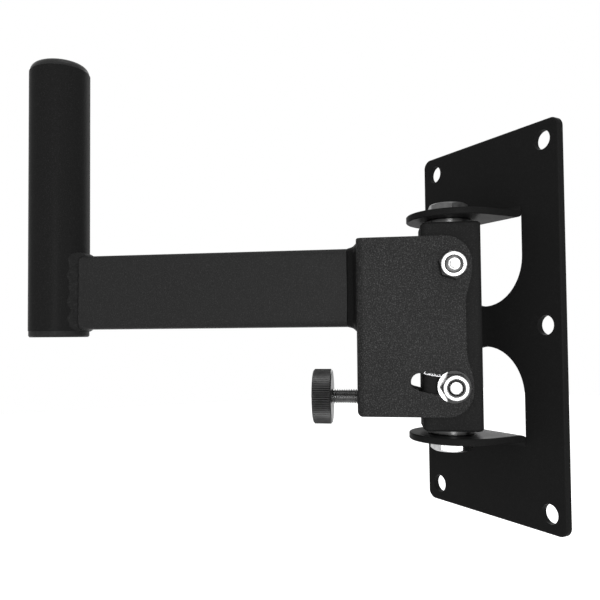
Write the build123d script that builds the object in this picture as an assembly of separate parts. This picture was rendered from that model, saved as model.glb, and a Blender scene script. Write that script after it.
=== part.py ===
from build123d import *
from math import asin, cos, pi, radians, sin, sqrt, tan
import os

os.makedirs("parts", exist_ok=True)

# All lengths are in millimetres and all angles in degrees.
# The origin is the middle of the wall plate's back face, +Y goes into the wall.

# Wall plate with two tabs cut from it and folded forward
plate_width = 100.0
plate_height = 208.0
plate_thickness = 3.5
plate_corner = 5.0
plate_edge_break = 0.7
screw_hole = 10.0
screw_inset = 10.0
cutout_half_width = 26.0
bridge_height = 22.4
saw_gap = 0.2
fold_inside = 3.0
tab_reach = 51.1
tab_edge_break = 0.45
pivot_from_wall = 30.0
swivel_shown = -36.5

# Swivel post with its threaded end plates, washers and bolts
post_play = 0.3
post_wall = 2.5
post_corner = 4.5
post_half_length = 54.2
post_end_break = 0.9
end_plate_thickness = 12.0
swivel_bolt = 12.0
swivel_bolt_length = 20.0
swivel_head_across = 19.0
swivel_head_height = 5.5
swivel_hole_play = 0.15
swivel_washer = 24.0
swivel_washer_bore = 13.0
swivel_washer_thickness = 2.5
upper_head_turn = 4.5
lower_head_turn = 35.5

# Tilt yoke, one folded sheet
yoke_width = 36.0
yoke_sheet = 2.5
yoke_fold = 3.5
yoke_half_height = 46.7
yoke_web_out = 49.1
yoke_upper_corner = 1.0
yoke_lower_corner = 2.8
yoke_reach = 9.9
yoke_waist_reach = 6.4
yoke_waist_half = 14.5
yoke_bulge_half = 27.0
yoke_waist_round = 30.0
yoke_free_corner = 14.0
tilt_bolt_spacing = 62.0
tilt_range = 16.0
slot_width = 9.0
tilt_hole_play = 0.1

# Tilt bolts, lock nuts and washer
tilt_bolt = 8.0
tilt_bolt_past = 9.0
tilt_across = 13.0
tilt_head_height = 5.3
nut_height = 8.0
nut_hex_height = 5.6
nut_collar = 12.9
seat_gap = 0.02
nut_lip_bore = 9.4
ring_outer = 10.4
ring_height = 1.7
nut_lip = 0.5
lower_washer = 17.0
lower_washer_thickness = 1.6
upper_nut_turn = 12.0
lower_nut_turn = 30.0
upper_bolt_turn = 10.0
lower_bolt_turn = 25.0

# Thumbscrew that sets the tilt
screw_drop = 37.7
screw_stud = 8.0
screw_tip_gap = 0.05
screw_tip_round = 6.0
screw_play = 0.1
knob_size = 30.0
knob_height = 10.3
knob_front = 73.5
knob_bore_depth = 8.0
knob_bore_play = 0.06
knob_teeth = 72
knob_tooth_depth = 0.55
knob_chamfer = 0.8
weld_nut_across = 14.0
weld_nut_height = 6.5
web_hole = 9.0

# Arm, pole and caps
arm_width = 20.0
arm_height = 42.2
arm_bottom = 0.3
arm_corner = 3.5
arm_wall = 2.0
pole_size = 35.0
pole_wall = 2.0
pole_reach = 224.0
pole_bottom = -0.3
pole_top = 152.5
top_cap = 34.0
top_cap_height = 5.0
top_cap_edge = 4.0
bottom_cap = 34.4
bottom_cap_height = 3.7
bottom_cap_chamfer = 0.8
plug_length = 10.0
yoke_weld_leg = 6.1
yoke_weld_side = 4.8
yoke_weld_up = 2.6
pole_weld_side = 2.2
pole_weld_up = 1.6
pole_weld_reach = 4.6

# Sizes that follow from the ones above
tab_inner = post_half_length + swivel_washer_thickness
tab_outer = tab_inner + plate_thickness
fold_outside = fold_inside + plate_thickness
fold_start = tab_outer + fold_inside
cutout_end = bridge_height / 2
tilt_z = tilt_bolt_spacing / 2
yoke_side = yoke_width / 2
yoke_gap = yoke_width - 2 * yoke_sheet
tilt_bolt_length = yoke_width + tilt_bolt_past
pole_radius = pole_size / 2
pole_inner = pole_radius - pole_wall
post_size = yoke_gap - 2 * post_play
post_face = post_size / 2
knob_back = knob_front - knob_height
post_bore = post_size - 2 * post_wall
arm_middle = arm_bottom + arm_height / 2


def at_pivot(shape):
    """Place a piece that was drawn in the arm's own frame."""
    return Pos(0, -pivot_from_wall, 0) * Rot(0, 0, swivel_shown) * shape


def save(shape, node):
    export_step(shape, "parts/" + node + ".step")


def turned(points):
    """Solid of revolution about Z from (radius, height) points."""
    outline = make_face(Polyline(*points, close=True))
    return revolve(Plane.XZ * outline, Axis.Z)


def ring(outer, bore, thickness, edge):
    """Flat washer on Z, from 0 up, with its outer edges broken."""
    half = outer / 2
    inner = bore / 2
    points = [
        (inner, 0),
        (half - edge, 0),
        (half, edge),
        (half, thickness - edge),
        (half - edge, thickness),
        (inner, thickness),
    ]
    return turned(points)


def hex_block(across, height, turn):
    """Hexagon on Z, from 0 up, with its top corners chamfered."""
    corner = across / sqrt(3) + 0.1
    crown = 0.475 * across
    drop = (corner - crown) * tan(radians(30))
    block = extrude(RegularPolygon(across / 2, 6, major_radius=False, rotation=turn), height)
    envelope = turned([(0, 0), (corner, 0), (corner, height - drop), (crown, height), (0, height)])
    return block & envelope


def hex_bolt(size, length, across, head, turn):
    """Bolt on Z with its head from 0 up and its shank from 0 down."""
    radius = size / 2
    tip = 0.1 * size
    shank = turned(
        [(0, 0.5), (radius, 0.5), (radius, tip - length), (radius - tip, -length), (0, -length)]
    )
    return hex_block(across, head, turn) + shank


def along_x(shape):
    """Turn a piece drawn on Z so that it points to +X."""
    return Rot(0, 90, 0) * shape


def along_arm(shape):
    """Turn a piece drawn on Z so that it points outward along the arm."""
    return Rot(90, 0, 0) * shape


# Wall plate


def cutout(side):
    length = fold_start - cutout_end - cutout_half_width
    straight = Pos(0, cutout_end + cutout_half_width + length / 2) * Rectangle(2 * cutout_half_width, length)
    outline = straight + Pos(0, cutout_end + cutout_half_width) * Circle(cutout_half_width)
    opening = extrude(Plane.XZ * outline, plate_thickness)
    return opening if side > 0 else mirror(opening, about=Plane.XY)


def tab():
    """Upper tab with its fold, both rims chamfered."""
    half = cutout_half_width - saw_gap
    reach = tab_reach - fold_outside
    flat = Pos(-fold_outside - reach / 2, tab_inner + plate_thickness / 2) * Rectangle(reach, plate_thickness)
    quarter = Pos(fold_outside / 2, -fold_outside / 2) * Rectangle(fold_outside, fold_outside)
    bend = (Circle(fold_outside) - Circle(fold_inside)) & quarter
    section = flat + Pos(-fold_outside, fold_start) * bend
    strip = extrude(Plane.YZ * section, half, both=True)
    straight = tab_reach - half
    plan = Pos(0, -straight / 2) * Rectangle(2 * half, straight) + Pos(0, -straight) * Circle(half)
    body = strip & extrude(plan, fold_start)
    rims = [
        edge
        for edge in body.edges()
        if not (edge.geom_type == GeomType.LINE and abs((edge % 0.5).Y) < 0.5)
        and edge.center().Z < fold_start - 0.1
    ]
    return chamfer(rims, tab_edge_break)


def wall_plate():
    outline = RectangleRounded(plate_width, plate_height, plate_corner)
    sheet = extrude(Plane.XZ * outline, plate_thickness)
    sheet = chamfer(sheet.faces().sort_by(Axis.Y)[0].edges(), plate_edge_break)
    upper = tab()
    upper -= Pos(0, -pivot_from_wall, tab_inner) * Cylinder((swivel_bolt + swivel_hole_play) / 2, 4 * plate_thickness)
    sheet -= cutout(1)
    sheet -= cutout(-1)
    sheet += upper
    sheet += mirror(upper, about=Plane.XY)
    across = plate_width / 2 - screw_inset
    up = plate_height / 2 - screw_inset
    for x in (-across, across):
        for z in (-up, 0, up):
            sheet -= Pos(x, 0, z) * Rot(90, 0, 0) * Cylinder(screw_hole / 2, 4 * plate_thickness)
    return sheet


# Swivel post and its fasteners, drawn in the arm frame


def swivel_post():
    outer = RectangleRounded(post_size, post_size, post_corner)
    inner = RectangleRounded(post_bore, post_bore, post_corner - post_wall)
    bar = extrude(outer, post_half_length, both=True)
    ends = bar.faces().filter_by(Axis.Z).edges()
    bar = chamfer(ends, post_end_break)
    bar -= extrude(inner, post_half_length, both=True)
    for z in (-tilt_z, tilt_z):
        bar -= Pos(0, 0, z) * Rot(0, 90, 0) * Cylinder(tilt_bolt / 2, 2 * post_size)
    return bar


def post_end():
    plug = extrude(RectangleRounded(post_bore, post_bore, post_corner - post_wall), -end_plate_thickness)
    plug -= Pos(0, 0, -end_plate_thickness / 2) * Cylinder(swivel_bolt / 2, 2 * end_plate_thickness)
    return Pos(0, 0, post_half_length) * plug


def swivel_washer_piece():
    return Pos(0, 0, post_half_length) * ring(swivel_washer, swivel_washer_bore, swivel_washer_thickness, 0.3)


def swivel_bolt_piece(turn):
    bolt = hex_bolt(swivel_bolt, swivel_bolt_length, swivel_head_across, swivel_head_height, turn)
    return Pos(0, 0, tab_outer) * bolt


def lower(shape):
    """Turn an upper piece about X so that it becomes the lower one."""
    return Rot(180, 0, 0) * shape


# Tilt yoke


def yoke_profile():
    top = yoke_half_height
    points = [
        (-yoke_web_out, -top),
        (yoke_reach, -top),
        (yoke_reach, -yoke_bulge_half),
        (yoke_waist_reach, -yoke_waist_half),
        (yoke_waist_reach, yoke_waist_half),
        (yoke_reach, yoke_bulge_half),
        (yoke_reach, top),
        (-yoke_web_out, top),
    ]
    face = make_face(Polyline(*points, close=True))
    middle = [v for v in face.vertices() if abs(v.Y) < top - 1]
    face = fillet(middle, yoke_waist_round)
    free = [v for v in face.vertices() if v.X > 0 and abs(v.Y) > top - 1]
    face = fillet(free, yoke_free_corner)
    upper = [v for v in face.vertices() if v.X < -yoke_web_out + 1 and v.Y > 0]
    face = fillet(upper, yoke_upper_corner)
    under = [v for v in face.vertices() if v.X < -yoke_web_out + 0.1 and v.Y < -top + 0.1]
    return fillet(under, yoke_lower_corner)


def tilt_slot():
    """Slot on an arc about the upper bolt, long enough for the whole tilt."""
    middle = CenterArc((0, tilt_z), tilt_bolt_spacing, -90 - tilt_range, tilt_range)
    return extrude(Plane.YZ * SlotArc(middle, slot_width), yoke_width, both=True)


def tilt_yoke():
    length = 2 * (yoke_web_out + yoke_reach)
    outer = Pos(0, length / 2 - yoke_web_out) * RectangleRounded(yoke_width, length, yoke_fold)
    hollow = RectangleRounded(yoke_gap, length, yoke_fold - yoke_sheet)
    inner = Pos(0, length / 2 - yoke_web_out + yoke_sheet) * hollow
    channel = extrude(outer - inner, yoke_half_height + 1, both=True)
    yoke = channel & extrude(Plane.YZ * yoke_profile(), yoke_width, both=True)
    yoke -= Pos(0, 0, tilt_z) * Rot(0, 90, 0) * Cylinder((tilt_bolt + tilt_hole_play) / 2, 2 * yoke_width)
    yoke -= tilt_slot()
    yoke -= Pos(0, -yoke_web_out, -screw_drop) * Rot(90, 0, 0) * Cylinder(web_hole / 2, 4 * yoke_sheet)
    return yoke


# Tilt bolts and lock nuts


def tilt_bolt_piece(z, turn):
    bolt = hex_bolt(tilt_bolt, tilt_bolt_length, tilt_across, tilt_head_height, turn)
    return Pos(-yoke_side - seat_gap, 0, z) * Rot(0, -90, 0) * bolt


def lock_nut(turn):
    """Lock nut on Z: hexagon below, round collar above with a rolled lip."""
    collar = nut_collar / 2
    bore = tilt_bolt / 2
    seat = ring_outer / 2
    ledge = nut_height - nut_lip - ring_height
    hexagon = extrude(RegularPolygon(tilt_across / 2, 6, major_radius=False, rotation=turn), nut_height)
    corner = tilt_across / sqrt(3) + 0.1
    outside = turned(
        [
            (0, 0),
            (corner - 0.5, 0),
            (corner, 0.4),
            (corner, nut_hex_height - 0.9),
            (collar, nut_hex_height),
            (collar, nut_height - 0.7),
            (collar - 0.15, nut_height - 0.25),
            (collar - 0.5, nut_height),
            (0, nut_height),
        ]
    )
    inside = turned(
        [
            (0, -1),
            (bore, -1),
            (bore, ledge),
            (seat, ledge),
            (seat, nut_height - nut_lip),
            (nut_lip_bore / 2, nut_height - nut_lip),
            (nut_lip_bore / 2, nut_height + 1),
            (0, nut_height + 1),
        ]
    )
    body = (hexagon + Pos(0, 0, nut_hex_height) * Cylinder(
        collar, nut_height - nut_hex_height, align=(Align.CENTER, Align.CENTER, Align.MIN)
    )) & outside
    return body - inside


def lock_ring():
    ledge = nut_height - nut_lip - ring_height
    return Pos(0, 0, ledge) * ring(ring_outer, tilt_bolt, ring_height, 0.05)


def on_near_side(shape, z, seat):
    return Pos(yoke_side + seat_gap + seat, 0, z) * along_x(shape)


# Thumbscrew, drawn in the arm frame and pointing outward


def screw_stud_piece():
    radius = screw_stud / 2
    tip = post_face + screw_tip_gap
    end = knob_front - knob_height + knob_bore_depth
    centre = tip + screw_tip_round
    shoulder = centre - sqrt(screw_tip_round**2 - radius**2)
    half = asin(radius / screw_tip_round) / 2
    middle = (screw_tip_round * sin(half), centre - screw_tip_round * cos(half))
    nose = ThreePointArc((0, tip), middle, (radius, shoulder))
    side = Polyline((radius, shoulder), (radius, end - 0.6), (radius - 0.6, end), (0, end), (0, tip))
    stud = revolve(Plane.XZ * make_face([nose] + side.edges()), Axis.Z)
    return Pos(0, 0, -screw_drop) * along_arm(stud)


def screw_knob_piece():
    radius = knob_size / 2
    points = []
    for i in range(2 * knob_teeth):
        r = radius if i % 2 == 0 else radius - knob_tooth_depth
        a = pi * i / knob_teeth
        points.append((r * cos(a), r * sin(a)))
    wheel = extrude(make_face(Polyline(*points, close=True)), knob_height)
    envelope = turned(
        [
            (0, 0),
            (radius - knob_chamfer, 0),
            (radius, knob_chamfer),
            (radius, knob_height - knob_chamfer),
            (radius - knob_chamfer, knob_height),
            (0, knob_height),
        ]
    )
    wheel = wheel & envelope
    wheel -= Cylinder(
        (screw_stud + knob_bore_play) / 2, knob_bore_depth, align=(Align.CENTER, Align.CENTER, Align.MIN)
    )
    return Pos(0, -knob_back, -screw_drop) * along_arm(wheel)


def weld_nut():
    nut = hex_block(weld_nut_across, weld_nut_height, 0)
    nut -= Cylinder((screw_stud + screw_play) / 2, 4 * weld_nut_height)
    inner_face = yoke_web_out - yoke_sheet
    return Pos(0, -inner_face, -screw_drop) * Rot(-90, 0, 0) * nut


# Arm, pole and caps


def arm_section(grow_side, grow_up, corner):
    return RectangleRounded(arm_width + 2 * grow_side, arm_height + 2 * grow_up, corner)


def along_run(section, start, length):
    """Sweep a section square to the arm, from start outward."""
    return Pos(0, -start, arm_middle) * extrude(Plane.XZ * section, length)


def pole_solid(radius):
    height = pole_top - pole_bottom
    return Pos(0, -pole_reach, (pole_top + pole_bottom) / 2) * Cylinder(radius, height)


def arm_tube():
    run = pole_reach - yoke_web_out
    outer = along_run(arm_section(0, 0, arm_corner), yoke_web_out, run)
    inner = along_run(arm_section(-arm_wall, -arm_wall, arm_corner - arm_wall), yoke_web_out, run)
    return outer - inner - pole_solid(pole_radius)


def pole_tube():
    return pole_solid(pole_radius) - pole_solid(pole_inner)


def top_cap_piece():
    r = top_cap / 2
    top = top_cap_height
    edge = top_cap_edge
    bend = ThreePointArc(
        (r, top - 0.4 - edge),
        (r - edge * (1 - sin(radians(45))), top - 0.4 - edge * (1 - cos(radians(45)))),
        (r - edge, top - 0.4),
    )
    rest = Polyline(
        (r - edge, top - 0.4),
        (0, top),
        (0, -plug_length),
        (pole_inner - 1, -plug_length),
        (pole_inner, 1 - plug_length),
        (pole_inner, 0),
        (r, 0),
        (r, top - 0.4 - edge),
    )
    cap = revolve(Plane.XZ * make_face([bend] + rest.edges()), Axis.Z)
    return Pos(0, -pole_reach, pole_top) * cap


def bottom_cap_piece():
    r = bottom_cap / 2
    c = bottom_cap_chamfer
    low = -bottom_cap_height
    cap = turned(
        [
            (0, low),
            (r - c, low),
            (r, low + c),
            (r, 0),
            (pole_inner, 0),
            (pole_inner, plug_length - 1),
            (pole_inner - 1, plug_length),
            (0, plug_length),
        ]
    )
    return Pos(0, -pole_reach, pole_bottom) * cap


# Welds


def weld_step(side, up, start, length):
    """Frame of weld metal round the arm, before the yoke or pole is cut out."""
    block = along_run(arm_section(side, up, arm_corner + up), start, length)
    return block - along_run(arm_section(0, 0, arm_corner), start - 1, length + 2)


def yoke_weld():
    """Stepped fillet weld all round the arm where it meets the yoke."""
    sink = yoke_sheet
    start = yoke_web_out - sink
    bead = weld_step(yoke_weld_side / 3, yoke_weld_up / 3, start, sink + yoke_weld_leg)
    bead += weld_step(yoke_weld_side * 2 / 3, yoke_weld_up * 2 / 3, start, sink + 0.62 * yoke_weld_leg)
    bead += weld_step(yoke_weld_side, yoke_weld_up, start, sink + 0.36 * yoke_weld_leg)
    plan = RectangleRounded(yoke_width, 2 * yoke_web_out, yoke_fold)
    return bead - extrude(plan, yoke_half_height, both=True)


def pole_weld():
    """Stepped fillet weld all round the arm where it meets the pole."""
    bead = None
    for share, reach in ((1.0, 0.3), (0.66, 0.6), (0.36, 1.0)):
        block = weld_step(share * pole_weld_side, share * pole_weld_up, pole_reach - pole_size, pole_size)
        block = block & pole_solid(pole_radius + reach * pole_weld_reach)
        bead = block if bead is None else bead + block
    return bead - pole_solid(pole_radius)


save(wall_plate(), "wall_plate")
save(at_pivot(swivel_post()), "swivel_post")
save(at_pivot(post_end()), "post_end_upper")
save(at_pivot(lower(post_end())), "post_end_lower")
save(at_pivot(swivel_washer_piece()), "swivel_washer_upper")
save(at_pivot(lower(swivel_washer_piece())), "swivel_washer_lower")
save(at_pivot(swivel_bolt_piece(upper_head_turn)), "swivel_bolt_upper")
save(at_pivot(lower(swivel_bolt_piece(lower_head_turn))), "swivel_bolt_lower")
save(at_pivot(tilt_yoke()), "tilt_yoke")
save(at_pivot(tilt_bolt_piece(tilt_z, upper_bolt_turn)), "tilt_bolt_upper")
save(at_pivot(tilt_bolt_piece(-tilt_z, lower_bolt_turn)), "tilt_bolt_lower")
save(at_pivot(on_near_side(lock_nut(upper_nut_turn), tilt_z, 0)), "tilt_nut_upper")
save(at_pivot(on_near_side(lock_ring(), tilt_z, 0)), "nut_ring_upper")
save(at_pivot(on_near_side(lock_nut(lower_nut_turn), -tilt_z, lower_washer_thickness)), "tilt_nut_lower")
save(at_pivot(on_near_side(lock_ring(), -tilt_z, lower_washer_thickness)), "nut_ring_lower")
washer = ring(lower_washer, tilt_bolt, lower_washer_thickness, 0.2)
save(at_pivot(on_near_side(washer, -tilt_z, 0)), "tilt_washer_lower")
save(at_pivot(screw_stud_piece()), "thumbscrew_stud")
save(at_pivot(screw_knob_piece()), "thumbscrew_knob")
save(at_pivot(weld_nut()), "yoke_weld_nut")
save(at_pivot(arm_tube()), "arm_tube")
save(at_pivot(pole_tube()), "pole_tube")
save(at_pivot(top_cap_piece()), "pole_top_cap")
save(at_pivot(bottom_cap_piece()), "pole_bottom_cap")
save(at_pivot(yoke_weld()), "yoke_weld")
save(at_pivot(pole_weld()), "pole_weld")
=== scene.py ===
import math
import random

import bpy
from mathutils import Matrix, Vector, noise


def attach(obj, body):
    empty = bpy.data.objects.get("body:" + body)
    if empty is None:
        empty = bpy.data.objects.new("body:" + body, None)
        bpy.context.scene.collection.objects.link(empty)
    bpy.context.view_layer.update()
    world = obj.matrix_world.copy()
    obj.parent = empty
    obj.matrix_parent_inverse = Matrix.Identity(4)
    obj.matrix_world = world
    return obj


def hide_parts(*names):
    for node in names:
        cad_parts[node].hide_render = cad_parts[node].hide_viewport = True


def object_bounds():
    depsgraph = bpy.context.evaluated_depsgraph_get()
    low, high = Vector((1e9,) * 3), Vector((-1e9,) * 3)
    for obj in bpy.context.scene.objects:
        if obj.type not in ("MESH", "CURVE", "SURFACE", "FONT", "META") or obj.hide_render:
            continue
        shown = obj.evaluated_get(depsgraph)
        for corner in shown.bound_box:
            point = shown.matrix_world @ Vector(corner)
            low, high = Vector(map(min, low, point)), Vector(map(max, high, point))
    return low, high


# Lengths here are in metres unless a name ends in mm.
SWIVEL = math.radians(-36.5)
PIVOT_Y = -0.03
UP = Vector((0, 0, 1))
OUT = Vector((math.sin(SWIVEL), -math.cos(SWIVEL), 0))
SIDE = Vector((math.cos(SWIVEL), math.sin(SWIVEL), 0))

# Places in the swivelled arm's frame, which starts on the swivel axis
UPPER_BOLT_MM = 31.0
LOWER_BOLT_MM = -31.0
BOLT_END_MM = 26.98
ARM_Z_MM = 21.4
YOKE_WEB_MM = 49.1
POLE_AXIS_MM = 224.0

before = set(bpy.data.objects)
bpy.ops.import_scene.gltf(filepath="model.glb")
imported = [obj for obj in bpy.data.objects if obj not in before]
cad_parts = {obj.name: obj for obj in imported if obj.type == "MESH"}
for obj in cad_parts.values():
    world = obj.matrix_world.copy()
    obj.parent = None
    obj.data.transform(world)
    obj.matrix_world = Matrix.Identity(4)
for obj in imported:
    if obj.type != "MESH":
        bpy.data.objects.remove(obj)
size_before = [list(corner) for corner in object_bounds()]


def arm_point(side_mm, back_mm, up_mm):
    """A place in the swivelled arm's frame as a place in the frame of the whole part."""
    turned = SIDE * side_mm - OUT * back_mm + UP * up_mm
    return turned / 1000 + Vector((0, PIVOT_Y, 0))


# Shader nodes


class Tree:
    """Short names for the shader nodes of one material or world."""

    def __init__(self, owner):
        owner.use_nodes = True
        self.owner = owner
        self.nodes = owner.node_tree.nodes
        self.links = owner.node_tree.links

    def input(self, name):
        return self.nodes["Principled BSDF"].inputs[name]

    def add(self, kind, **values):
        node = self.nodes.new(kind)
        for key, value in values.items():
            setattr(node, key, value)
        return node

    def join(self, source, target):
        self.links.new(source, target)

    def math(self, operation, first, second=0.0):
        node = self.add("ShaderNodeMath", operation=operation)
        for index, value in enumerate((first, second)):
            if isinstance(value, (int, float)):
                node.inputs[index].default_value = value
            else:
                self.join(value, node.inputs[index])
        return node.outputs[0]

    def product(self, first, *others):
        for other in others:
            first = self.math("MULTIPLY", first, other)
        return first

    def length(self, first, second):
        squares = [self.math("MULTIPLY", value, value) for value in (first, second)]
        return self.math("SQRT", self.math("ADD", *squares))

    def place(self):
        return self.add("ShaderNodeTexCoord").outputs["Object"]

    def measures(self, origin, *directions):
        """How far a place lies from the origin along each direction."""
        offset = self.add("ShaderNodeVectorMath", operation="SUBTRACT")
        self.join(self.place(), offset.inputs[0])
        offset.inputs[1].default_value = origin
        result = []
        for direction in directions:
            dot = self.add("ShaderNodeVectorMath", operation="DOT_PRODUCT")
            self.join(offset.outputs[0], dot.inputs[0])
            dot.inputs[1].default_value = direction
            result.append(dot.outputs["Value"])
        return result

    def noise(self, scale, detail, rough, stretch=None):
        node = self.add("ShaderNodeTexNoise")
        node.inputs["Scale"].default_value = scale
        node.inputs["Detail"].default_value = detail
        node.inputs["Roughness"].default_value = rough
        place = self.place()
        if stretch:
            mapping = self.add("ShaderNodeMapping")
            mapping.inputs["Scale"].default_value = stretch
            self.join(place, mapping.inputs["Vector"])
            place = mapping.outputs[0]
        self.join(place, node.inputs["Vector"])
        return node.outputs["Fac"]

    def ramp(self, source, stops):
        """Grey that follows a value through pairs of position and shade."""
        node = self.add("ShaderNodeValToRGB")
        while len(node.color_ramp.elements) < len(stops):
            node.color_ramp.elements.new(0.5)
        for element, (position, shade) in zip(node.color_ramp.elements, stops):
            element.position = position
            element.color = (shade, shade, shade, 1)
        self.join(source, node.inputs[0])
        return node.outputs["Color"]

    def scaled(self, value, width, lowest):
        """A value from 0 to 1, rescaled to a width above a lowest value."""
        return self.math("ADD", self.math("MULTIPLY", value, width), lowest)

    def bump(self, height, distance, strength, edge):
        """Relief on a surface whose sharp edges are rounded by a radius."""
        rounded = self.add("ShaderNodeBevel", samples=4)
        rounded.inputs["Radius"].default_value = edge
        node = self.add("ShaderNodeBump")
        node.inputs["Distance"].default_value = distance
        node.inputs["Strength"].default_value = strength
        self.join(height, node.inputs["Height"])
        self.join(rounded.outputs[0], node.inputs["Normal"])
        self.join(node.outputs[0], self.input("Normal"))

    def mixed(self, share, first, second):
        """The first shader, or the second where the share is 1."""
        node = self.add("ShaderNodeMixShader")
        self.join(share, node.inputs[0])
        self.join(first.outputs[0], node.inputs[1])
        self.join(second.outputs[0], node.inputs[2])
        return node.outputs[0]

    def seen_rays(self):
        """1 for the rays that show the background: from the camera, in gloss and through glass."""
        path = self.add("ShaderNodeLightPath")
        value = path.outputs["Is Camera Ray"]
        for other in ("Is Glossy Ray", "Is Transmission Ray"):
            value = self.math("MAXIMUM", value, path.outputs[other])
        return value


def new_material(name):
    return Tree(bpy.data.materials.new(name))


# Materials


def powder_coat(name, shade, rough=0.44, grain=0.00007, edge=0.0005, ior=1.1, glint=0.25):
    """Fine textured black powder coat; glint is how strongly its specks stand out."""
    t = new_material(name)
    specks = t.noise(1900, 2, 0.5)
    dark, light = shade * (1 - 0.5 * glint), shade * (1 + 2.4 * glint)
    t.join(t.ramp(specks, [(0.35, dark), (0.55, shade), (0.72, light)]), t.input("Base Color"))
    patches = t.scaled(t.noise(42, 3, 0.5), 0.16, rough - 0.08)
    gloss = t.math("MULTIPLY", specks, 0.1)
    t.join(t.math("SUBTRACT", patches, gloss), t.input("Roughness"))
    t.input("IOR").default_value = ior
    t.bump(t.noise(1500, 2, 0.6), distance=grain, strength=0.75, edge=edge)
    return t.owner


def zinc(name, shade, rough, edge=0.00025, scratches=(1.0, 1.0, 6.0), patches=0.28):
    """Plated steel with fine scratches, dull patches and softened edges."""
    t = new_material(name)
    t.input("Metallic").default_value = 1.0
    wear = t.noise(300, 4, 0.6)
    low, high = shade * (1 - patches), shade * 1.15
    t.join(t.ramp(wear, [(0.3, low), (0.7, high)]), t.input("Base Color"))
    t.join(t.scaled(wear, 0.18, rough - 0.09), t.input("Roughness"))
    t.bump(t.noise(900, 2, 0.6, scratches), distance=0.00003, strength=0.6, edge=edge)
    return t.owner


def threaded(name, shade, rough, bolt_mm):
    """Plated tilt bolt whose M8 thread is a ridge in its normals, on its half towards the nut, with
    painted shade in its roots and a painted highlight on its crests.
    """
    pitch, start, end = 0.00125, 0.012, 0.0262
    t = new_material(name)
    t.input("Metallic").default_value = 1.0
    along, across, down = t.measures(arm_point(0, 0, bolt_mm), SIDE, OUT, -UP)
    turns = t.math("DIVIDE", t.math("ARCTAN2", down, across), 2 * math.pi)
    helix = t.math("SUBTRACT", t.math("DIVIDE", along, pitch), turns)
    ridge = t.math("MULTIPLY", t.math("PINGPONG", helix, 0.5), 2.0)
    ridge = t.product(ridge, t.math("GREATER_THAN", along, start), t.math("LESS_THAN", along, end))
    # Colour follows the thread's ridge: darker in the roots and lighter on the crests, as painted shade
    # and highlight; off the threaded length it stays at the roots' darker level.
    thread_painted_shade_and_highlight = t.scaled(ridge, 0.75, 0.3)
    grime = t.scaled(t.noise(420, 3, 0.6), 0.5, 0.75)
    level = t.product(thread_painted_shade_and_highlight, shade, grime)
    grey = t.add("ShaderNodeCombineColor")
    for channel in grey.inputs:
        t.join(level, channel)
    t.join(grey.outputs[0], t.input("Base Color"))
    t.input("Roughness").default_value = rough
    t.bump(ridge, distance=0.00028, strength=1.0, edge=0.0002)
    return t.owner


def plastic(name, shade, rough, ior=1.3):
    """Moulded black plastic with a satin grain."""
    t = new_material(name)
    t.input("IOR").default_value = ior
    grain = t.noise(900, 3, 0.55)
    t.join(t.ramp(grain, [(0.3, shade * 0.8), (0.7, shade * 1.2)]), t.input("Base Color"))
    t.join(t.scaled(t.noise(60, 2, 0.5), 0.15, rough - 0.07), t.input("Roughness"))
    t.bump(grain, distance=0.00004, strength=0.6, edge=0.0004)
    return t.owner


def worn_yoke():
    """Yoke coat with bare metal where the washer has rubbed along the near slot's rim."""
    rim, widest = 0.0572, 0.0034
    left, right, top, near_side = -0.015, -0.004, -0.045, 0.015
    # The yoke's shade is a lighter copy of the one black coat: painted light for how the key falls on it.
    t = Tree(powder_coat("coat_yoke", shade=0.026, rough=0.46, grain=0.00013, ior=1.14, glint=0.95))
    side, back, height = t.measures(arm_point(0, 0, UPPER_BOLT_MM), SIDE, -OUT, UP)
    from_rim = t.math("ABSOLUTE", t.math("SUBTRACT", t.length(back, height), rim))
    ragged = t.math("MULTIPLY", t.math("SUBTRACT", t.noise(1300, 2, 0.6), 0.3), widest)
    rubbed = t.product(
        t.math("LESS_THAN", from_rim, ragged),
        t.math("GREATER_THAN", back, left),
        t.math("LESS_THAN", back, right),
        t.math("LESS_THAN", height, top),
        t.math("GREATER_THAN", side, near_side),
        t.math("GREATER_THAN", t.noise(2400, 2, 0.6), 0.49),
    )
    bare = t.add("ShaderNodeBsdfPrincipled")
    bare.inputs["Base Color"].default_value = (0.5, 0.5, 0.51, 1)
    bare.inputs["Metallic"].default_value = 1.0
    bare.inputs["Roughness"].default_value = 0.5
    worn = t.mixed(rubbed, t.nodes["Principled BSDF"], bare)
    t.join(worn, t.nodes["Material Output"].inputs[0])
    return t.owner


def ringed_nut(name, bolt_mm):
    """Nut whose collar is bright zinc and whose hexagon's corners are darkened in colour as painted
    shade.
    """
    collar, ragged_by = 0.0066, 0.0004
    colour_a, colour_b, colour_out = 6, 7, 2
    t = Tree(zinc(name, shade=0.5, rough=0.34, scratches=(6.0, 1.0, 1.0)))
    radius = t.length(*t.measures(arm_point(0, 0, bolt_mm), OUT, UP))
    ragged = t.math("MULTIPLY", t.noise(700, 2, 0.6), ragged_by)
    # Beyond the collar's radius the base colour turns nearly black: painted shade on the hexagon's
    # corners.
    corners = t.math("GREATER_THAN", t.math("ADD", radius, ragged), collar)
    bright = t.input("Base Color").links[0].from_socket
    mix = t.add("ShaderNodeMix", data_type="RGBA")
    t.join(corners, mix.inputs["Factor"])
    t.join(bright, mix.inputs[colour_a])
    mix.inputs[colour_b].default_value = (0.05, 0.05, 0.05, 1)
    t.join(mix.outputs[colour_out], t.input("Base Color"))
    return t.owner


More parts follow.
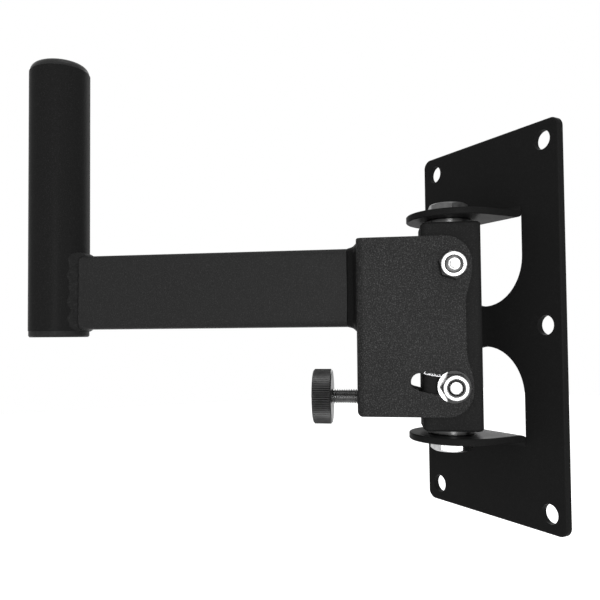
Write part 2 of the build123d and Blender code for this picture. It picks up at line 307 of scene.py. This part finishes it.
def washer_with_painted_light():
    """Zinc washer whose colour is lighter on the arm's side and nearly black on the wall's: painted
    highlight and shade for how the light falls.
    """
    ragged_by, ramp_per_metre = 0.002, 110.0
    t = new_material("washer_painted_light")
    t.input("Metallic").default_value = 1.0
    outward = t.measures(arm_point(0, 0, LOWER_BOLT_MM), OUT)[0]
    ragged = t.math("MULTIPLY", t.noise(500, 3, 0.6), ragged_by)
    # Colour ramps along the outward direction: painted highlight on the arm's side, painted shade on the
    # wall's.
    level = t.math("MULTIPLY", t.math("ADD", outward, ragged), ramp_per_metre)
    t.join(t.ramp(level, [(0.46, 0.02), (0.62, 0.6)]), t.input("Base Color"))
    t.input("Roughness").default_value = 0.36
    t.bump(t.noise(1200, 2, 0.6), distance=0.00003, strength=0.6, edge=0.0002)
    return t.owner


# One black powder coat in copies of different shade per part: the plate and pole darker, the post, yoke
# and arm lighter, as painted light and shade for how the lamps fall on each.
coat_plate = powder_coat("coat_plate", shade=0.0155, grain=0.00005, ior=1.06, glint=0.12)
coat_post = powder_coat("coat_post", shade=0.0245, rough=0.62, ior=1.025)
coat_arm = powder_coat("coat_arm", shade=0.028)
coat_pole = powder_coat("coat_pole", shade=0.0165, rough=0.36, ior=1.06)
coat_weld = powder_coat("coat_weld", shade=0.02, rough=0.42, grain=0.00014, edge=0.0012)
# A darker copy of the weld coat for the yoke's weld: painted shade where that weld faces away from the
# key.
coat_weld_painted_shade = powder_coat("coat_weld_painted_shade", shade=0.0085, rough=0.42, grain=0.00014, edge=0.0012)
zinc_washer = zinc("zinc_washer", shade=0.1, rough=0.3)
zinc_bolt = zinc("zinc_bolt", shade=0.42, rough=0.3)
# The upper swivel bolt is a darker copy of the lower one's zinc: painted shade.
zinc_upper_painted_shade = zinc("zinc_upper_painted_shade", shade=0.13, rough=0.34)
bolt_tip = zinc("bolt_tip", shade=0.6, rough=0.3, patches=0.85)
plain_steel = zinc("plain_steel", shade=0.4, rough=0.42)
knob_steel = zinc("knob_steel", shade=0.042, rough=0.36, edge=0.0001)
stud_steel = zinc("stud_steel", shade=0.2, rough=0.2, edge=0.00008)

MATERIALS = {
    "wall_plate": coat_plate,
    "swivel_post": coat_post,
    "post_end_upper": plain_steel,
    "post_end_lower": plain_steel,
    "swivel_washer_upper": zinc_washer,
    "swivel_washer_lower": zinc_washer,
    "swivel_bolt_upper": zinc_upper_painted_shade,
    "swivel_bolt_lower": zinc_bolt,
    "tilt_yoke": worn_yoke(),
    "tilt_bolt_upper": threaded("bolt_steel_upper", 0.6, 0.3, UPPER_BOLT_MM),
    "tilt_bolt_lower": threaded("bolt_steel_lower", 0.7, 0.28, LOWER_BOLT_MM),
    "tilt_nut_upper": ringed_nut("zinc_nut_upper", UPPER_BOLT_MM),
    "tilt_nut_lower": ringed_nut("zinc_nut_lower", LOWER_BOLT_MM),
    "nut_ring_upper": plastic("nylon_ring", shade=0.06, rough=0.4),
    "nut_ring_lower": plastic("nylon_ring_lower", shade=0.1, rough=0.38),
    "tilt_washer_lower": washer_with_painted_light(),
    "thumbscrew_stud": stud_steel,
    "thumbscrew_knob": knob_steel,
    "yoke_weld_nut": plain_steel,
    "arm_tube": coat_arm,
    "pole_tube": coat_pole,
    "pole_top_cap": plastic("cap_black", shade=0.024, rough=0.34, ior=1.22),
    "pole_bottom_cap": plastic("cap_grey", shade=0.028, rough=0.42, ior=1.1),
    "yoke_weld": coat_weld,
    "pole_weld": coat_weld,
}
for name, material in MATERIALS.items():
    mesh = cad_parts[name].data
    mesh.materials.clear()
    mesh.materials.append(material)


# Pieces of the scene's own


def new_piece(name, vertices, faces, material):
    mesh = bpy.data.meshes.new(name)
    mesh.from_pydata(vertices, [], faces)
    mesh.materials.append(material)
    piece = bpy.data.objects.new(name, mesh)
    bpy.context.scene.collection.objects.link(piece)
    return piece


def ring_faces(rings, around, flip=False):
    """Faces of a closed solid whose points lie in rings, with its two end rings filled."""
    last = (rings - 1) * around
    faces = [tuple(reversed(range(around))), tuple(range(last, last + around))]
    if flip:
        faces = [face[::-1] for face in faces]
    for ring in range(rings - 1):
        for step in range(around):
            a = ring * around + step
            b = ring * around + (step + 1) % around
            faces.append((a, a + around, b + around, b) if flip else (a, b, b + around, a + around))
    return faces


# Weld beads

ARM_HALF_WIDTH_MM = 10.0
ARM_HALF_HEIGHT_MM = 21.1
ARM_CORNER_MM = 3.5
POLE_RADIUS_MM = 17.5
BEAD_ROWS = 420
BEAD_POINTS = 15


def arm_outline(count):
    """Places round the arm's section: across, up, outward direction and length from the start."""
    flat = ARM_HALF_WIDTH_MM - ARM_CORNER_MM
    tall = ARM_HALF_HEIGHT_MM - ARM_CORNER_MM
    arc = ARM_CORNER_MM * math.pi / 2
    runs = [2 * tall, arc, 2 * flat, arc] * 2
    total = sum(runs)
    result = []
    for index in range(count):
        s = total * index / count
        rest = s
        run = 0
        while rest >= runs[run]:
            rest -= runs[run]
            run += 1
        turn = math.pi / 2 * (run // 2)
        if run % 2 == 0:
            normal = (math.cos(turn), math.sin(turn))
            along = (-math.sin(turn), math.cos(turn))
            side, start = (ARM_HALF_WIDTH_MM, tall) if run % 4 == 0 else (ARM_HALF_HEIGHT_MM, flat)
            x = normal[0] * side + along[0] * (rest - start)
            z = normal[1] * side + along[1] * (rest - start)
        else:
            angle = turn + rest / ARM_CORNER_MM
            normal = (math.cos(angle), math.sin(angle))
            x = math.copysign(flat, math.cos(turn + math.pi / 4)) + ARM_CORNER_MM * normal[0]
            z = math.copysign(tall, math.sin(turn + math.pi / 4)) + ARM_CORNER_MM * normal[1]
        result.append((x, z, normal, s))
    return result


def ripple(s, q, seed, pitch_mm):
    """Stacked coins and slow waves of a weld, at a place along it and across it."""
    rng = random.Random(seed)
    phases = [rng.uniform(0, 6.28) for _ in range(3)]
    wander = 0.35 * math.sin(s / 9.0 + phases[0])
    bow = 0.9 * (q - 0.5) ** 2
    coin = 0.5 + 0.5 * math.cos(2 * math.pi * (s / pitch_mm + wander + bow))
    slow = 0.5 * math.sin(s / 6.3 + phases[1]) + 0.5 * math.sin(s / 14.0 + phases[2])
    return coin, slow


def pole_swell(normal, s, q, seed, pitch_mm):
    """How far the pole's weld grows from the arm and reaches from the pole, and its foot, in mm."""
    top, bottom = (3.0, 4.0), (0.8, 1.6)
    side_grow, side_reach, toe_swing = 3.4, 2.4, 1.7
    coin, slow = ripple(s, q, seed, pitch_mm)
    crown = math.sin(math.pi * q)
    size = 0.84 + 0.07 * slow + 0.05 * coin * crown
    flank = abs(normal[0])
    rim_grow, rim_reach = top if normal[1] > 0 else bottom
    toe = noise.noise(Vector((s * 0.2, 3.1, seed)))
    most = rim_grow * (1 - flank) + (side_grow + toe_swing * toe) * flank
    far = rim_reach * (1 - flank) + side_reach * flank
    lump = noise.noise(Vector((s * 0.42, q * 2.4, seed)))
    lump += 0.5 * noise.noise(Vector((s * 0.95, q * 5.0, seed)))
    hollow = 1.5 + 1.1 * flank
    grow = most * size * math.cos(math.pi / 2 * q) ** hollow
    reach = far * size * math.sin(math.pi / 2 * q) ** hollow
    reach += (0.3 + 0.9 * lump) * crown * flank
    return grow, reach, -0.2


def yoke_swell(normal, s, q, seed, pitch_mm):
    """How far the yoke's weld grows from the arm and reaches from the web, and its foot, in mm."""
    rim_grow, side_extra, most_reach = 2.6, 2.6, 6.0
    coin, slow = ripple(s, q, seed, pitch_mm)
    crown = math.sin(math.pi * q)
    size = 0.9 + 0.05 * slow + 0.05 * coin * crown
    flank = abs(normal[0])
    hollow = 1 - 0.28 * crown
    grow = (rim_grow + side_extra * flank) * size * hollow * (1 - q)
    reach = most_reach * size * hollow * q
    return grow, reach, -1.2 * flank - 0.15


def on_pole(x_mm, z_mm, reach_mm):
    """A place that far outside the pole's round surface."""
    depth = math.sqrt(max((POLE_RADIUS_MM + reach_mm) ** 2 - x_mm**2, 0.0))
    return arm_point(x_mm, depth - POLE_AXIS_MM, ARM_Z_MM + z_mm)


def on_yoke(x_mm, z_mm, reach_mm):
    """A place that far outside the yoke's web."""
    return arm_point(x_mm, -YOKE_WEB_MM - reach_mm, ARM_Z_MM + z_mm)


def bead(name, swell, stand, root_mm, seed, pitch_mm, material):
    """A closed ring of weld round the arm, whose edges and root are sunk into what it joins."""
    edge_mm = -0.2
    inside_arm_mm = -0.3
    vertices = []
    for x, z, normal, s in arm_outline(BEAD_ROWS):
        profile = []
        for j in range(BEAD_POINTS - 1):
            q = j / (BEAD_POINTS - 2)
            grow, reach, foot = swell(normal, s, q, seed, pitch_mm)
            profile.append((edge_mm if q == 1 else grow, foot if q == 0 else reach))
        profile.append((inside_arm_mm, root_mm))
        for grow, reach in profile:
            vertices.append(stand(x + grow * normal[0], z + grow * normal[1], reach))
    faces = []
    for row in range(BEAD_ROWS):
        here = row * BEAD_POINTS
        there = (row + 1) % BEAD_ROWS * BEAD_POINTS
        for j in range(BEAD_POINTS):
            after = (j + 1) % BEAD_POINTS
            faces.append((here + j, here + after, there + after, there + j))
    piece = new_piece(name, vertices, faces, material)
    piece.data.shade_smooth()
    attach(piece, "tilt")
    return piece


pole_bead = bead("pole_bead", pole_swell, on_pole, root_mm=-0.3, seed=5, pitch_mm=1.6, material=coat_weld)
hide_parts("pole_weld")
yoke_bead = bead(
    "yoke_bead", yoke_swell, on_yoke, root_mm=-2.0, seed=9, pitch_mm=1.5, material=coat_weld_painted_shade
)
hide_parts("yoke_weld")


# Dished ends of the tilt bolts


def dished_end(name, bolt_mm):
    """Raised rim and hollow middle of a bolt's cut end, on the end that shows."""
    around = 40
    profile_mm = [
        (3.2, -0.05), (3.15, 0.1), (2.9, 0.24), (2.6, 0.26), (2.0, 0.14), (1.1, 0.06), (0.3, 0.03)
    ]
    vertices = []
    for radius, rise in profile_mm:
        for step in range(around):
            angle = 2 * math.pi * step / around
            back, up = radius * math.cos(angle), radius * math.sin(angle)
            vertices.append(arm_point(BOLT_END_MM + rise, back, bolt_mm + up))
    piece = new_piece(name, vertices, ring_faces(len(profile_mm), around), bolt_tip)
    piece.data.shade_smooth()
    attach(piece, "swivel")


dished_end("bolt_end_upper", UPPER_BOLT_MM)
dished_end("bolt_end_lower", LOWER_BOLT_MM)


# Thread of the thumbscrew


def thread_depth(turns, depth_mm):
    """How far a thread's flank lies below its crest, with flat crest and root."""
    crest_edge, flank_width = 0.86, 0.72
    part = abs((turns % 1.0) - 0.5) * 2
    return depth_mm * min(1.0, max(0.0, (crest_edge - part) / flank_width))


def screw_thread():
    """The stud as a real helix with a domed tip, slimmer where it sits in the knob."""
    crest_mm, pitch_mm, depth_mm = 4.0, 1.25, 0.68
    tip_mm, end_mm, height_mm = 15.25, 71.15, -37.7
    dome_mm, dome_length_mm, fine_step_mm = 6.0, 1.6, 0.12
    knob_mm, bore_mm, chamfer_mm, thinnest_mm = 63.0, 3.85, 0.7, 0.02
    around = 56
    rows = []
    from_tip = 0.0
    while from_tip < end_mm - tip_mm:
        rows.append(tip_mm + from_tip)
        from_tip += fine_step_mm if from_tip < dome_length_mm else pitch_mm / 8
    rows.append(end_mm)
    vertices = []
    for row in rows:
        short = dome_mm - min(row - tip_mm, dome_mm)
        dome = math.sqrt(max(0.0, dome_mm**2 - short**2))
        widest = min(dome, crest_mm - chamfer_mm + (end_mm - row))
        if row > knob_mm:
            widest = min(widest, bore_mm)
        for step in range(around):
            angle = 2 * math.pi * step / around
            cut = thread_depth(row / pitch_mm - step / around, depth_mm)
            radius = max(min(crest_mm - cut, widest), thinnest_mm)
            side, up = radius * math.cos(angle), radius * math.sin(angle)
            vertices.append(arm_point(side, -row, height_mm + up))
    faces = ring_faces(len(rows), around, flip=True)
    piece = new_piece("screw_thread", vertices, faces, stud_steel)
    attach(piece, "screw")
    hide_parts("thumbscrew_stud")


screw_thread()


# Camera, from the fit to the photograph


def photo_camera():
    """Puts the camera where the photo was taken, and gives its forward and right directions."""
    azimuth, pitch, roll = math.radians(62.52), math.radians(1.974), math.radians(-0.460)
    place = (0.27040, -0.27655, -0.00488)
    sensor_mm = 36
    photo_px, focal_px = 600, 658.3
    centre_x_px, centre_y_px = 274.65, 314.28
    forward = Vector(
        (-math.sin(azimuth) * math.cos(pitch), math.cos(azimuth) * math.cos(pitch), math.sin(pitch))
    )
    right = forward.cross(UP).normalized()
    up = right.cross(forward)
    right_rolled = right * math.cos(roll) + up * math.sin(roll)
    up_rolled = up * math.cos(roll) - right * math.sin(roll)
    data = bpy.data.cameras.new("camera")
    data.sensor_width = sensor_mm
    data.lens = sensor_mm * focal_px / photo_px
    data.shift_x = (photo_px / 2 - centre_x_px) / photo_px
    data.shift_y = (centre_y_px - photo_px / 2) / photo_px
    data.clip_start = 0.01
    camera = bpy.data.objects.new("camera", data)
    turn = Matrix((right_rolled, up_rolled, -forward)).transposed().to_4x4()
    camera.matrix_world = Matrix.Translation(place) @ turn
    bpy.context.scene.collection.objects.link(camera)
    bpy.context.scene.camera = camera
    return forward, right


forward, right = photo_camera()


# Light

MIDDLE = Vector((-0.02, -0.09, 0.02))
KEY_SIDE = Vector((0.86, -0.51, 0.0)).normalized()
ROOM_LIGHT = 0.4


def softbox(name, offset, width, height, watts):
    """Rectangular lamp at an offset from the object's middle, turned towards it."""
    data = bpy.data.lights.new(name, "AREA")
    data.shape = "RECTANGLE"
    data.size = width
    data.size_y = height
    data.energy = watts
    lamp = bpy.data.objects.new(name, data)
    lamp.location = MIDDLE + offset
    lamp.rotation_euler = (-offset).to_track_quat("-Z", "Y").to_euler()
    bpy.context.scene.collection.objects.link(lamp)


def towards_camera(near, sideways, height):
    """An offset given towards the camera, to its right, and up."""
    level = Vector((forward.x, forward.y, 0)).normalized()
    return right * sideways + UP * height - level * near


softbox("key", KEY_SIDE * 1.6 + UP * 0.02, width=0.4, height=0.6, watts=11.0)
softbox("top", towards_camera(0.25, 0.1, 0.9), width=0.5, height=0.3, watts=1.6)
softbox("back", Vector((-0.7, 1.3, 0.5)), width=0.9, height=0.9, watts=6.0)


def white_room():
    """White where it is seen, and dimmer where it only lights the object."""
    world = bpy.data.worlds.new("world")
    bpy.context.scene.world = world
    t = Tree(world)
    backdrop = t.nodes["Background"]
    room = t.add("ShaderNodeBackground")
    for background, strength in ((backdrop, 1.0), (room, ROOM_LIGHT)):
        background.inputs["Color"].default_value = (1, 1, 1, 1)
        background.inputs["Strength"].default_value = strength
    t.join(t.mixed(t.seen_rays(), room, backdrop), t.nodes["World Output"].inputs[0])


def pale_floor():
    """Floor well below the bracket, seen as white with a faint shadow, and open from below."""
    half, drop, glow_strength = 3.0, 0.25, 0.96
    z = size_before[0][2] - drop
    t = new_material("floor")
    t.input("Base Color").default_value = (0.8, 0.8, 0.8, 1)
    t.input("Roughness").default_value = 0.9
    glow = t.add("ShaderNodeEmission")
    t.join(t.math("MULTIPLY", t.seen_rays(), glow_strength), glow.inputs["Strength"])
    both = t.add("ShaderNodeAddShader")
    t.join(t.nodes["Principled BSDF"].outputs[0], both.inputs[0])
    t.join(glow.outputs[0], both.inputs[1])
    below = t.add("ShaderNodeNewGeometry").outputs["Backfacing"]
    clear = t.add("ShaderNodeBsdfTransparent")
    t.join(t.mixed(below, both, clear), t.nodes["Material Output"].inputs[0])
    corners = [(-half, -half, z), (half, -half, z), (half, half, z), (-half, half, z)]
    floor = new_piece("floor", corners, [(0, 1, 2, 3)], t.owner)


white_room()
pale_floor()
bpy.context.scene.view_settings.view_transform = "Standard"
